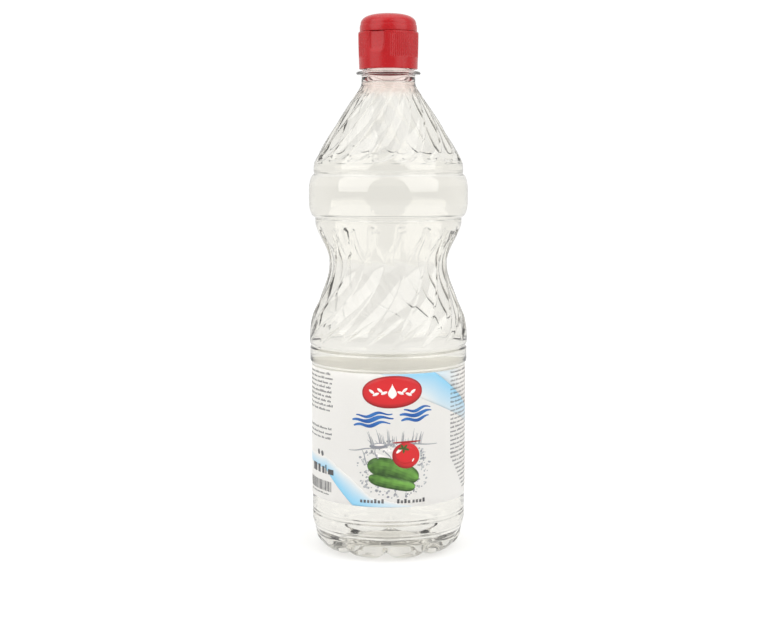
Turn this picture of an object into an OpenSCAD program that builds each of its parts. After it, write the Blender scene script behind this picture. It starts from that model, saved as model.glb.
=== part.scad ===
// Clear plastic vinegar bottle, one litre, with a waist, twisted flutes,
// a wrap label, a filling of vinegar and a red flip-top screw cap.
// Millimetres, +Z up, origin on the resting plane below the bottle's axis.
// The front of the bottle faces -Y.

/* [Bottle body] */
// Radius of the straight panel that carries the label
panel_r = 40.2; // [33.5:0.1:48.3]
// How far the plain ring above the panel stands out from it
ring_out = 0.9; // [0.7:0.05:1.1]
// How far the broad band below the shoulder stands out from the panel
band_out = 1.1; // [0.9:0.05:1.4]
// How far the creases above and below the broad band lie in from the panel
crease_in = 2.1; // [1.7:0.1:2.6]
// How far the waist's narrowest place lies in from the panel
waist_in = 9.4; // [7.8:0.1:11.3]
// How far the heel lies in from the panel
heel_in = 1.9; // [1.5:0.1:2.3]
// How far the circle that the feet stand on lies in from the panel
foot_in = 12.7; // [10.5:0.1:15.3]
// Thickness of the blown wall
wall = 0.6; // [0.5:0.02:0.72]

/* [Heights of the body] */
// Height of the side's start above the feet
heel_h = 9; // [7.5:0.1:10.8]
// Length of the taper from the heel to the panel's lower edge
taper_h = 9; // [7.5:0.1:10.8]
// Length of the straight label panel
panel_h = 80; // [66:1:96]
// Length of the plain ring above the panel, with its groove
ring_h = 13; // [10.8:0.1:15.6]
// Length from the plain ring up to the narrowest place of the waist
waist_low_h = 38.5; // [32:0.1:46.2]
// Length from the narrowest place up to the crease below the band
waist_up_h = 23; // [19:0.1:27.6]
// Length of the broad band, crease to crease
band_h = 24; // [20:0.1:28.8]
// Length of the fluted shoulder, from the band's crease to the neck
shoulder_h = 46.5; // [38.5:0.1:55.8]

/* [Flutes and feet] */
// Number of flutes round the shoulder and round the waist
flutes = 18; // [9:9:18]
// Depth of a flute
flute_d = 0.9; // [0.7:0.02:1.1]
// Angle that the flutes turn through from the waist's top to its foot
waist_twist = 48; // [38:1:58]
// Angle that the flutes turn through over the shoulder
shoulder_twist = 40; // [32:1:48]
// Number of feet in the base
feet = 10; // [6:1:12]
// Depth of the grooves between the feet
foot_groove = 2.2; // [1.8:0.1:2.7]
// Height of the hollow in the middle of the base
punt_h = 5; // [4.1:0.1:6]

/* [Neck] */
// Radius of the bore through the neck
bore_r = 11.2; // [9.3:0.1:13.5]
// Thickness of the neck's wall above the support ring, inside the cap
neck_wall = 2.1; // [1.7:0.05:2.5]
// How much thicker the neck's wall is below the support ring
neck_step = 0.55; // [0.45:0.05:0.65]
// Length of the neck from the shoulder to the support ring
neck_h = 4.3; // [3.5:0.1:5.2]
// How far the support ring stands out from the neck above it
support_out = 3.3; // [2.7:0.1:4]
// Thickness of the support ring
support_h = 1.5; // [1.2:0.1:1.8]
// Height of the neck above the support ring
finish_h = 18.1; // [15:0.1:21.8]

/* [Filling] */
// Height of the vinegar's surface below the support ring
fill_drop = 4.6; // [2:0.1:20]
// Space between the vinegar and the wall
fill_gap = 0.05; // [0.02:0.01:0.2]

/* [Label] */
// Bare panel left below the label
label_foot = 11.5; // [9.5:0.1:13.8]
// Thickness of the label
label_t = 0.2; // [0.1:0.05:0.4]
// Bare panel left above the label
label_inset = 0.5; // [0.4:0.1:6]
// Space between the label and the panel
label_gap = 0.02; // [0.01:0.01:0.1]

/* [Cap] */
// Thickness of the cap's skirt near its top
skirt_wall = 2.05; // [1.7:0.05:2.5]
// How far the skirt leans in down to its lower edge
skirt_draft = 0.45; // [0.35:0.05:0.55]
// Space between the support ring and the cap's lower edge
skirt_rise = 1.3; // [1:0.1:3]
// Space between the neck and the cap's bore
cap_gap = 0.15; // [0.05:0.05:0.3]
// Thickness of the cap's deck over the neck
deck_t = 2; // [1.6:0.1:2.4]
// Outer radius of the pouring spout on the deck
spout_r = 4; // [3.3:0.1:4.8]
// Radius of the spout's bore
spout_bore_r = 2.6; // [2.1:0.1:3.2]
// Height of the spout above the deck
spout_h = 3; // [2.5:0.1:3.6]

/* [Lid] */
// How far the lid's lower edge lies in from the skirt
lid_in = 0.8; // [0.6:0.05:1]
// Height of the lid
lid_h = 9.35; // [7.7:0.05:11.3]
// Height of the lid's straight lower band
lid_band_h = 3.8; // [3.1:0.1:4.6]
// Wall thickness of the lid
lid_wall = 1.2; // [1:0.05:1.45]
// Space between the shut lid and the cap
lid_gap = 0.15; // [0.1:0.05:0.3]
// Radius of the plug under the lid that closes the spout
plug_r = 1.8; // [1.4:0.05:2.1]
// Direction of the thumb recess, from the front towards +X
thumb_angle = -24; // [-30:1:30]
// Depth of the thumb recess in the skirt
thumb_d = 1.6; // [1.3:0.1:1.9]

/* [Hidden] */
$fn = 180;

// Radii of the body, each from the label panel's
ring_r = panel_r + ring_out;
band_r = panel_r + band_out;
crease_r = panel_r - crease_in;
waist_r = panel_r - waist_in;
heel_r = panel_r - heel_in;
foot_r = panel_r - foot_in;

// Radii of the neck, the cap and the lid, each from the bore's
finish_r = bore_r + neck_wall;
neck_r = finish_r + neck_step;
support_r = finish_r + support_out;
skirt_r = finish_r + cap_gap + skirt_wall;
skirt_foot_r = skirt_r - skirt_draft;
lid_r = skirt_r - lid_in;

// Heights above the resting plane
z_panel = heel_h + taper_h;
z_ring = z_panel + panel_h;
z_waist_foot = z_ring + ring_h;
z_waist = z_waist_foot + waist_low_h;
z_crease = z_waist + waist_up_h;
z_band_top = z_crease + band_h;
z_neck = z_band_top + shoulder_h;
z_support = z_neck + neck_h;
z_finish = z_support + support_h;
z_rim = z_finish + finish_h;
z_fill = z_support - fill_drop;
z_skirt = z_finish + skirt_rise;
z_deck = z_rim + deck_t;
z_lid = z_deck + lid_gap;
z_label = z_panel + label_foot;
label_h = panel_h - label_foot - label_inset;

// Shape of the body's details
columns = 72;            // mesh columns round the body
front = -90;             // direction of the front
flute_phase = 11.5;      // direction of one flute on the band, from the front
foot_phase = -2;         // direction of one groove between feet
punt_share = 0.42;       // flat middle of the base, as a share of the feet's circle
groove_low_h = 3;        // height of the small crease above the panel's lower edge
groove_d = 0.5;          // depth of the small creases round the body
groove_w = 1.4;          // width of the small creases
groove_drop = 3.4;       // height of the plain ring's groove below the waist
ring_edge = 1;           // height over which the plain ring steps out
band_low_h = 9;          // height of the band's rounded lower corner
band_up_h = 6;           // height of the band's rounded upper corner
flute_end = 5;           // length over which a flute runs out
neck_blend = 3.4;        // length of the curve from the shoulder to the neck
shoulder_start = 5.5;    // plain ring between the band and the shoulder's cone
flute_in_h = 4;          // height of the flutes' start below the waist's crease
thumb_ball_r = 10;       // radius of the ball that cuts the thumb recess
thumb_drop = 2.8;        // depth of that ball's centre below the seam
skirt_edge = 0.5;        // bevel round the skirt's upper edge
skirt_swell = 2.5;       // depth below the seam where the skirt is widest
skirt_least = 0.3;       // least thickness left behind the thumb recess
lid_step = 0.35;         // step from the lid's band in to its crown
lid_draft = 0.15;        // how far the lid's band leans in
plug_reach = 1.5;        // how far the plug goes into the spout
hinge_out = 0.5;         // how far the hinge line stands out from the skirt
hinge_r = skirt_r + hinge_out;
hinge_w = 8;             // width of the hinge strap
hinge_t = 1.2;           // height of the hinge lugs
hinge_angle = front + thumb_angle + 180;
z_groove = z_waist_foot - groove_drop;

// Eased step from 0 to 1 between a and b
function step(a, b, x) = let (u = min(1, max(0, (x - a) / (b - a)))) u * u * (3 - 2 * u);
// Half a wave from 0 to 1; a power k over 1 holds it back at the start
function wave(u, k) = (1 - cos(180 * pow(u, k))) / 2;
// Quarter of an ellipse from 0 to 1
function round_in(u) = sqrt(1 - (1 - u) * (1 - u));
// Cubic from r0 with slope m0 to r1 with slope m1 over the length h
function cubic(u, r0, m0, r1, m1, h) =
    (2 * u * u * u - 3 * u * u + 1) * r0 + (u * u * u - 2 * u * u + u) * m0 * h
    + (3 * u * u - 2 * u * u * u) * r1 + (u * u * u - u * u) * m1 * h;

// A ring of the body is [radius, height, lean of its normal below level]
under = [for (share = [punt_share, 0.66, 0.85]) let (r = foot_r * share)
    [r, punt_h * pow(cos(90 * (r / foot_r - punt_share) / (1 - punt_share)), 1.5), 90]];
heel = [for (a = [0 : 18 : 75])
    [foot_r + (heel_r - foot_r) * sin(a), heel_h * (1 - cos(a)), 90 - a]];
taper = [for (u = [0 : 0.34 : 1])
    [heel_r + (panel_r - heel_r) * sin(90 * u), heel_h + taper_h * u, 0]];
panel = [
    [panel_r, z_panel + groove_low_h - groove_w / 2, 0],
    [panel_r - groove_d, z_panel + groove_low_h, 0],
    [panel_r, z_panel + groove_low_h + groove_w / 2, 0],
    [panel_r, z_ring, 0],
];
plain_ring = [
    [ring_r, z_ring + ring_edge, 0],
    [ring_r, z_groove - groove_w, 0],
    [ring_r - groove_d, z_groove, 0],
    [ring_r, z_groove + groove_w, 0],
];
waist_low = [for (u = [0 : 0.1 : 0.99])
    [ring_r + (waist_r - ring_r) * wave(u, 1.15), z_waist_foot + waist_low_h * u, 0]];
waist_up = [for (u = [0 : 1 / 6 : 1.01])
    [waist_r + (crease_r - waist_r) * wave(min(u, 1), 1.1), z_waist + waist_up_h * u, 0]];
band = [
    [crease_r - groove_d * 0.6, z_crease + groove_w / 2, 0],
    [crease_r, z_crease + groove_w, 0],
    for (u = [0.15, 0.45, 1])
        [crease_r + (band_r - crease_r) * round_in(u), z_crease + groove_w + band_low_h * u, 0],
    for (u = [1, 0.4, 0])
        [crease_r + 0.4 + (band_r - crease_r - 0.4) * round_in(u), z_band_top - band_up_h * u, 0],
];
shoulder_r = crease_r + 0.6;
cone_h = shoulder_h - shoulder_start - neck_blend;
cone_top_r = neck_r + 1.5;
cone_slope = (cone_top_r - shoulder_r) / cone_h;
low_slope = 0.8 * cone_slope;
top_slope = 1.11 * cone_slope;
shoulder = [
    [shoulder_r, z_band_top + shoulder_start * 0.55, 0],
    for (u = [0 : 1 / 9 : 1.01])
        [cubic(u, shoulder_r, low_slope, cone_top_r, top_slope, cone_h),
         z_band_top + shoulder_start + cone_h * u, 0],
    for (u = [0.5, 1])
        [cubic(u, cone_top_r, top_slope, neck_r + 0.15, -0.05, neck_blend),
         z_neck - neck_blend + neck_blend * u, 0],
];
rings = concat(under, heel, taper, panel, plain_ring, waist_low, waist_up, band, shoulder);

// Turn of the mesh columns at height z, so that they run along the flutes
flute_top = z_crease - flute_in_h;
function twist(z) =
    z < flute_top
        ? -waist_twist * pow(min(1, (flute_top - z) / (flute_top - z_waist_foot)), 2)
        : shoulder_twist * max(0, z - z_band_top - shoulder_start) / cone_h;

// Depth of the flutes at height z
function flute_depth(z) = flute_d * (
    step(z_waist_foot - 1, z_waist_foot + flute_end, z) * (1 - step(flute_top - flute_end, flute_top + 1, z))
    + step(z_band_top + shoulder_start - 1, z_band_top + shoulder_start + flute_end, z)
        * (1 - step(z_neck - neck_blend - flute_end, z_neck - neck_blend + 1, z)));

// Depth of the grooves between the feet on a ring
function foot_depth(ring) = foot_groove
    * (1 - step(heel_h - 1, heel_h + taper_h * 0.35, ring[1]))
    * step(foot_r * punt_share, foot_r * 0.9, ring[0]);

// How far a ring is cut in at an angle from the front
function cut_in(ring, a) =
    flute_depth(ring[1]) * pow(0.5 + 0.5 * cos(flutes * (a - flute_phase - twist(ring[1]))), 1.5)
    + foot_depth(ring) * pow(0.5 + 0.5 * cos(feet * (a - foot_phase)), 3);

function body_point(ring, j) =
    let (a = flute_phase + twist(ring[1]) + 360 * j / columns, d = cut_in(ring, a))
    let (r = ring[0] - d * cos(ring[2]))
    [r * cos(front + a), r * sin(front + a), ring[1] + d * sin(ring[2])];

// The body's outside, one closed skin from the base's middle to the neck
module body_skin() {
    n = len(rings);
    points = concat(
        [for (ring = rings) for (j = [0 : columns - 1]) body_point(ring, j)],
        [[0, 0, punt_h], [0, 0, z_neck]]);
    sides = [for (i = [0 : n - 2]) for (j = [0 : columns - 1])
        let (k = (j + 1) % columns, low = i * columns, up = low + columns)
        each [[low + j, up + j, up + k], [low + j, up + k, low + k]]];
    bottom = [for (j = [0 : columns - 1]) [n * columns, j, (j + 1) % columns]];
    top = [for (j = [0 : columns - 1])
        [n * columns + 1, (n - 1) * columns + (j + 1) % columns, (n - 1) * columns + j]];
    polyhedron(points = points, faces = concat(sides, bottom, top));
}

// Half outline of the space inside, g in from the wall
function inside(g) = concat(
    [[0, punt_h + wall + g]],
    [for (ring = rings) if (ring[1] < z_neck - neck_blend)
        let (t = wall + g + flute_depth(ring[1]) + foot_depth(ring))
        [ring[0] - t * cos(ring[2]), ring[1] + t * sin(ring[2])]],
    [[bore_r + 1.3 - g, z_neck], [bore_r - g, z_support]]);

module bottle() {
    color([0.91, 0.92, 0.9, 0.5])
    difference() {
        union() {
            body_skin();
            translate([0, 0, z_neck - neck_blend]) cylinder(r = neck_r, h = neck_h + neck_blend);
            translate([0, 0, z_support]) cylinder(r = support_r, h = support_h);
            translate([0, 0, z_finish]) cylinder(r = finish_r, h = finish_h);
        }
        rotate_extrude() polygon(concat(inside(0), [[bore_r, z_rim + 1], [0, z_rim + 1]]));
    }
}

module vinegar() {
    color([0.95, 0.94, 0.88, 0.7])
    intersection() {
        rotate_extrude() polygon(concat(inside(fill_gap), [[0, z_support]]));
        cylinder(r = band_r, h = z_fill);
    }
}

module label() {
    color([0.93, 0.92, 0.9])
    translate([0, 0, z_label]) difference() {
        cylinder(r = panel_r + label_gap + label_t, h = label_h);
        translate([0, 0, -1]) cylinder(r = panel_r + label_gap, h = label_h + 2);
    }
}

// A lug that carries the hinge strap, from height z up, h high
module hinge_lug(z, h) {
    rotate([0, 0, hinge_angle]) translate([lid_r - lid_wall, -hinge_w / 2, z])
        cube([hinge_r - lid_r + lid_wall, hinge_w, h]);
}

module cap() {
    color([0.78, 0.1, 0.14]) difference() {
        union() {
            rotate_extrude() polygon([
                [0, z_skirt], [skirt_foot_r, z_skirt], [skirt_r, z_deck - skirt_swell],
                [skirt_r, z_deck - skirt_edge], [skirt_r - skirt_edge, z_deck],
                [spout_r, z_deck], [spout_r, z_deck + spout_h], [0, z_deck + spout_h]]);
            hinge_lug(z_deck - hinge_t, hinge_t);
        }
        translate([0, 0, z_skirt - 1]) cylinder(r = finish_r + cap_gap, h = z_rim - z_skirt + 1);
        translate([0, 0, z_rim - 1]) cylinder(r = spout_bore_r, h = deck_t + spout_h + 2);
        rotate([0, 0, front + thumb_angle])
            translate([skirt_r + thumb_ball_r - min(thumb_d, skirt_wall - skirt_least), 0, z_deck - thumb_drop])
                sphere(r = thumb_ball_r);
    }
}

// Half outline of the lid's crown, g in from its outside
function crown(g) = let (top = lid_h - g, side = lid_r - lid_step - g)
    [for (a = [0 : 10 : 90])
        [side * pow(cos(a), 0.7), lid_band_h + (top - lid_band_h) * pow(sin(a), 0.9)]];

module lid() {
    plug_top = lid_h - lid_wall;
    plug_foot = spout_h - lid_gap - plug_reach;
    color([0.8, 0.1, 0.14]) translate([0, 0, z_lid]) {
        difference() {
            union() {
                rotate_extrude() polygon(concat(
                    [[0, 0], [lid_r, 0], [lid_r - lid_draft, lid_band_h]], crown(0)));
                hinge_lug(0, hinge_t);
            }
            translate([0, 0, -0.01]) rotate_extrude() polygon(concat(
                [[0, 0], [lid_r - lid_wall, 0]], crown(lid_wall)));
        }
        translate([0, 0, plug_foot]) cylinder(r = plug_r, h = plug_top - plug_foot + lid_wall / 2);
    }
}

bottle();
vinegar();
label();
cap();
lid();
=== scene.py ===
"""A clear plastic bottle of white vinegar, dressed for rendering.

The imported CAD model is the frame. Each sub-assembly below stands for one or
more of its solids: the blown wall, the vinegar, the printed wrap label, the
flip-top cap and its lid. Sizes are in millimetres and repeat the CAD model's
own; meshes are written in metres. The front of the bottle faces -Y, and an
angle is counted from the front towards +X.
"""

import logging
import math
from dataclasses import dataclass, field
from enum import Enum
from typing import Callable, Dict, List, Optional, Sequence, Tuple, Union

import bpy
import numpy as np
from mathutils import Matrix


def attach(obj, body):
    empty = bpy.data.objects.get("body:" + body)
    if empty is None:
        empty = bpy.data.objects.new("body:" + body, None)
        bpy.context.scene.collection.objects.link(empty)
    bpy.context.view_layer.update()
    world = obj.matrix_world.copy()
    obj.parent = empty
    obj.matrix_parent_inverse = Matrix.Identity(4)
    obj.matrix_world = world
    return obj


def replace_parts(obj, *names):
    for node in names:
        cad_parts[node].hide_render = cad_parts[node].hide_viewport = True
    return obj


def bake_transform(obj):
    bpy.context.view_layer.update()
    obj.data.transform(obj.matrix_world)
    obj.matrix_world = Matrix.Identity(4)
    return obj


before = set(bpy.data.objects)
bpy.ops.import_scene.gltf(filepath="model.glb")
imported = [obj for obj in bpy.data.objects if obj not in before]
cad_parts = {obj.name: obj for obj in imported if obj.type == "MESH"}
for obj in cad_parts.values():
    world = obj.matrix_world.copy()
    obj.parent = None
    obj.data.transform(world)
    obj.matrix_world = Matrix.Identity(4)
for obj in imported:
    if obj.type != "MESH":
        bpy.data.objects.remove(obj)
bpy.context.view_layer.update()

LOG = logging.getLogger("vinegar_bottle")
MM = 0.001
Array = np.ndarray
Triple = Tuple[float, float, float]
Colour = Triple
Span = Tuple[float, float]
Place = Tuple[float, float]
Shade = Union[None, float, Array, Callable[[Array, Array], Array]]


class Body(str, Enum):
    """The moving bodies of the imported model."""

    BOTTLE = "bottle"
    LID = "lid"


class Slot(str, Enum):
    """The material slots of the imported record."""

    PLASTIC = "clear_plastic"
    VINEGAR = "vinegar"
    LABEL = "label"
    RED = "red_plastic"


# ---------------------------------------------------------------- mesh tools


def share_of(low: float, high: float, x: Array) -> Array:
    """Share of the way from low to high, held at 0 and 1."""
    return np.clip((x - low) / (high - low), 0.0, 1.0)


def ease(low: float, high: float, x: Array) -> Array:
    """Eased step from 0 to 1: 3u^2 - 2u^3, where u is the share of the way from low to high.

    Args:
        low: Where the step starts.
        high: Where the step ends.
        x: Places to read it at.

    Returns:
        The step's values.
    """
    u = share_of(low, high, x)
    return u * u * (3 - 2 * u)


def wrap(r: Array, angle: Array, z: Array) -> Array:
    """Points at a radius, an angle from the front in radians and a height."""
    return np.stack(np.broadcast_arrays(r * np.sin(angle), -r * np.cos(angle), z), axis=-1)


def wave(u: Array, hold: float) -> Array:
    """Half a cosine wave from 0 to 1; a hold over 1 keeps it back at the start."""
    return (1 - np.cos(np.pi * np.power(u, hold))) / 2


def quarter(u: Array) -> Array:
    """Quarter of an ellipse from 0 to 1: the root of 1 - (1 - u)^2."""
    return np.sqrt(np.clip(1 - (1 - np.clip(u, 0, 1)) ** 2, 0, 1))


def cubic(u: Array, r0: float, m0: float, r1: float, m1: float, length: float) -> Array:
    """Hermite cubic between two radii with a slope at each end.

    Args:
        u: Share of the way, 0 to 1.
        r0: Value at the start.
        m0: Slope at the start.
        r1: Value at the end.
        m1: Slope at the end.
        length: Length that the slopes are measured over.

    Returns:
        The cubic's values.
    """
    return (
        (2 * u**3 - 3 * u**2 + 1) * r0
        + (u**3 - 2 * u**2 + u) * m0 * length
        + (3 * u**2 - 2 * u**3) * r1
        + (u**3 - u**2) * m1 * length
    )


def arc(centre: Place, radius: float, start: float, end: float, count: int) -> Array:
    """Points of a circular arc in the (radius, height) plane.

    Args:
        centre: Arc's centre.
        radius: Arc's radius.
        start: First angle in degrees, from the outward direction upwards.
        end: Last angle in degrees.
        count: Number of points.

    Returns:
        Array of count points.
    """
    a = np.radians(np.linspace(start, end, count))
    return np.stack([centre[0] + radius * np.cos(a), centre[1] + radius * np.sin(a)], axis=1)


def ring_quads(rows: int, columns: int, closed: bool) -> Array:
    """Quads of a grid whose columns wrap round.

    Args:
        rows: Number of rows.
        columns: Number of columns.
        closed: True where the last row joins the first one too.

    Returns:
        Four point numbers a row.
    """
    low = np.arange(rows if closed else rows - 1)
    i, j = np.meshgrid(low, np.arange(columns), indexing="ij")
    up, right = (i + 1) % rows, (j + 1) % columns
    return np.stack(
        [i * columns + j, i * columns + right, up * columns + right, up * columns + j], axis=-1
    ).reshape(-1, 4)


def sheet_quads(rows: int, columns: int) -> Array:
    """Quads of an open grid.

    Args:
        rows: Number of rows.
        columns: Number of columns.

    Returns:
        Four point numbers a row.
    """
    i, j = np.meshgrid(np.arange(rows - 1), np.arange(columns - 1), indexing="ij")
    a = i * columns + j
    return np.stack([a, a + 1, a + columns + 1, a + columns], axis=-1).reshape(-1, 4)


def mesh_object(
    name: str,
    points: Array,
    quads: Array,
    triangles: Optional[Array] = None,
    fields: Optional[Dict[str, Array]] = None,
    smooth: Optional[Array] = None,
) -> bpy.types.Object:
    """Puts arrays of points and faces into a new smooth-shaded object.

    Args:
        name: Name of the object.
        points: Points in millimetres, one row each.
        quads: Four point numbers a row.
        triangles: Three point numbers a row, if there are any.
        fields: Values to keep on the points, by name.
        smooth: False for each face that stays flat, with sharp edges round it.

    Returns:
        The object, at the origin.
    """
    triangles = np.zeros((0, 3), int) if triangles is None else triangles
    mesh = bpy.data.meshes.new(name)
    mesh.vertices.add(len(points))
    mesh.vertices.foreach_set("co", (points * MM).astype(np.float32).ravel())
    loops = np.concatenate([quads.ravel(), triangles.ravel()]).astype(np.int32)
    mesh.loops.add(len(loops))
    mesh.loops.foreach_set("vertex_index", loops)
    starts = np.concatenate(
        [np.arange(len(quads)) * 4, len(quads) * 4 + np.arange(len(triangles)) * 3]
    ).astype(np.int32)
    mesh.polygons.add(len(starts))
    mesh.polygons.foreach_set("loop_start", starts)
    smooth = np.ones(len(starts), dtype=bool) if smooth is None else smooth
    mesh.polygons.foreach_set("use_smooth", smooth)
    mesh.update(calc_edges=True)
    mesh.validate()
    for key, values in (fields or {}).items():
        attribute = mesh.attributes.new(key, "FLOAT", "POINT")
        attribute.data.foreach_set("value", np.asarray(values, np.float32).ravel())
    piece = bpy.data.objects.new(name, mesh)
    bpy.context.scene.collection.objects.link(piece)
    return piece


def turned_object(name: str, grid: Array, closed: bool) -> bpy.types.Object:
    """Makes a turned solid from rings of points.

    Rows run along the outline and columns round the axis. An outline that
    isn't closed starts and ends near the axis, where a pole closes it.

    Args:
        name: Name of the object.
        grid: Points, as rows by columns by 3.
        closed: True where the outline closes on itself.

    Returns:
        The object.
    """
    rows, columns, _ = grid.shape
    points = grid.reshape(-1, 3)
    quads = ring_quads(rows, columns, closed)
    if closed:
        return mesh_object(name, points, quads)
    j = np.arange(columns)
    right, last = (j + 1) % columns, (rows - 1) * columns
    first_pole = np.full(columns, rows * columns)
    fans = [
        np.stack([first_pole, right, j], axis=1),
        np.stack([last + j, last + right, first_pole + 1], axis=1),
    ]
    poles = [grid[0].mean(axis=0), grid[-1].mean(axis=0)]
    return mesh_object(name, np.vstack([points, poles]), quads, np.concatenate(fans))


def spin(outline: Array, angles: Array) -> Array:
    """Carries an outline round the axis.

    Args:
        outline: Points of (radius, height), n by 2.
        angles: Angles from the front in radians, one for each column, or n rows of them.

    Returns:
        Grid of points, n by columns by 3.
    """
    return wrap(outline[:, :1], angles, outline[:, 1:2])


def bezier(*points: Place, count: int = 24) -> Array:
    """A smooth path through a few points: a Bezier curve that has them as its handles.

    Args:
        points: First point, one or two handles, and last point.
        count: Points along it.

    Returns:
        Array of count points.
    """
    t = np.linspace(0, 1, count)[:, None]
    n = len(points) - 1
    return sum(
        math.comb(n, k) * (1 - t) ** (n - k) * t**k * np.array(p)[None, :] for k, p in enumerate(points)
    )


def pillow(
    name: str, centre: Sequence[float], half: Sequence[float], turn: float, power: float
) -> bpy.types.Object:
    """A block with soft edges: each side of a superellipsoid is a power of a sine or cosine.

    Args:
        name: Name of the object.
        centre: Middle of the block: distance out, sideways, height.
        half: Half sizes in the same order.
        turn: Direction of the outward side in degrees, from the front.
        power: 1 gives an ellipsoid, and near 0 a sharp block.

    Returns:
        The object.
    """
    def bend(x: Array) -> Array:
        """Keeps the sign and raises the size to the power."""
        return np.sign(x) * np.abs(x) ** power

    up = np.radians(np.linspace(-88, 88, 33))[:, None]
    round_ = np.radians(np.arange(0, 360, 7.5))[None, :]
    out = centre[0] + half[0] * bend(np.cos(up)) * bend(np.cos(round_))
    side = centre[1] + half[1] * bend(np.cos(up)) * bend(np.sin(round_))
    z = np.broadcast_to(centre[2] + half[2] * bend(np.sin(up)), out.shape)
    a = math.radians(turn)
    x = out * math.sin(a) + side * math.cos(a)
    y = -out * math.cos(a) + side * math.sin(a)
    return turned_object(name, np.stack([x, y, z], axis=-1), closed=False)


# ------------------------------------------------------------------ finishes


class Nodes:
    """Short calls for building the node tree of a material or a world."""

    def __init__(self, owner: bpy.types.ID, output: str = "ShaderNodeOutputMaterial") -> None:
        """Empties the owner's tree and adds its output.

        Args:
            owner: The material or world.
            output: Type of its output node.
        """
        owner.use_nodes = True
        self.owner = owner
        self.tree = owner.node_tree
        self.tree.nodes.clear()
        self.output = self.tree.nodes.new(output)

    def add(
        self, kind: str, values: Optional[Dict[str, object]] = None, **settings: object
    ) -> bpy.types.Node:
        """Adds a node.

        Args:
            kind: Type of the node.
            values: Constants of its inputs, by name.
            settings: Its properties.

        Returns:
            The node.
        """
        node = self.tree.nodes.new(kind)
        for key, value in settings.items():
            setattr(node, key, value)
        for key, value in (values or {}).items():
            node.inputs[key].default_value = value
        return node

    def join(self, source: bpy.types.NodeSocket, target: bpy.types.NodeSocket) -> None:
        """Links two sockets."""
        self.tree.links.new(source, target)

    def finish(self, surface: bpy.types.NodeSocket) -> bpy.types.ID:
        """Links a shader to the output and gives back the material or world."""
        self.join(surface, self.output.inputs["Surface"])
        return self.owner

    def place(self, kind: str = "Object") -> bpy.types.NodeSocket:
        """Coordinates of one kind."""
        return self.add("ShaderNodeTexCoord").outputs[kind]

    def axis(self, vector: bpy.types.NodeSocket, name: str) -> bpy.types.NodeSocket:
        """One axis of a vector.

        Args:
            vector: The vector's socket.
            name: X, Y or Z.

        Returns:
            The axis's value socket.
        """
        split = self.add("ShaderNodeSeparateXYZ")
        self.join(vector, split.inputs["Vector"])
        return split.outputs[name]

    def noise(self, scale: float, detail: float, stretch: Triple = (1, 1, 1)) -> bpy.types.NodeSocket:
        """Noise on Object coordinates.

        Args:
            scale: Cells for each metre.
            detail: Layers of finer noise.
            stretch: Share of the scale along X, Y and Z.

        Returns:
            The noise's value socket.
        """
        mapping = self.add("ShaderNodeMapping", {"Scale": stretch})
        texture = self.add("ShaderNodeTexNoise", {"Scale": scale, "Detail": detail})
        self.join(self.place(), mapping.inputs["Vector"])
        self.join(mapping.outputs["Vector"], texture.inputs["Vector"])
        return texture.outputs["Fac"]

    def span(self, value: bpy.types.NodeSocket, source: Span, target: Span) -> bpy.types.NodeSocket:
        """Carries a value from one span to another and holds it at the ends.

        Args:
            value: The value's socket.
            source: First span.
            target: Second span.

        Returns:
            The new value's socket.
        """
        names = ("From Min", "From Max", "To Min", "To Max")
        node = self.add("ShaderNodeMapRange", dict(zip(names, (*source, *target))))
        self.join(value, node.inputs["Value"])
        return node.outputs["Result"]

    def ramp(
        self, value: bpy.types.NodeSocket, start: float, first: Colour, end: float, last: Colour
    ) -> bpy.types.NodeSocket:
        """Turns a value into a colour between two colours.

        Args:
            value: The value's socket.
            start: Where the first colour ends.
            first: The first colour.
            end: Where the last colour starts.
            last: The last colour.

        Returns:
            The colour's socket.
        """
        node = self.add("ShaderNodeValToRGB")
        for element, place, colour in zip(node.color_ramp.elements, (start, end), (first, last)):
            element.position = place
            element.color = (*colour, 1)
        self.join(value, node.inputs["Fac"])
        return node.outputs["Color"]

    def bump(self, value: bpy.types.NodeSocket, height_mm: float) -> bpy.types.NodeSocket:
        """Turns a value into small relief.

        Args:
            value: The value's socket.
            height_mm: Height of the relief in millimetres.

        Returns:
            The normal's socket.
        """
        node = self.add("ShaderNodeBump", {"Strength": 1.0, "Distance": height_mm * MM})
        self.join(value, node.inputs["Height"])
        return node.outputs["Normal"]

    def mix(
        self, share: bpy.types.NodeSocket, first: bpy.types.NodeSocket, second: bpy.types.NodeSocket
    ) -> bpy.types.NodeSocket:
        """Mixes two shaders.

        Args:
            share: Share of the second shader.
            first: The first shader.
            second: The second shader.

        Returns:
            The mixed shader's socket.
        """
        node = self.add("ShaderNodeMixShader")
        for source, target in zip((share, first, second), node.inputs):
            self.join(source, target)
        return node.outputs["Shader"]


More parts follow.
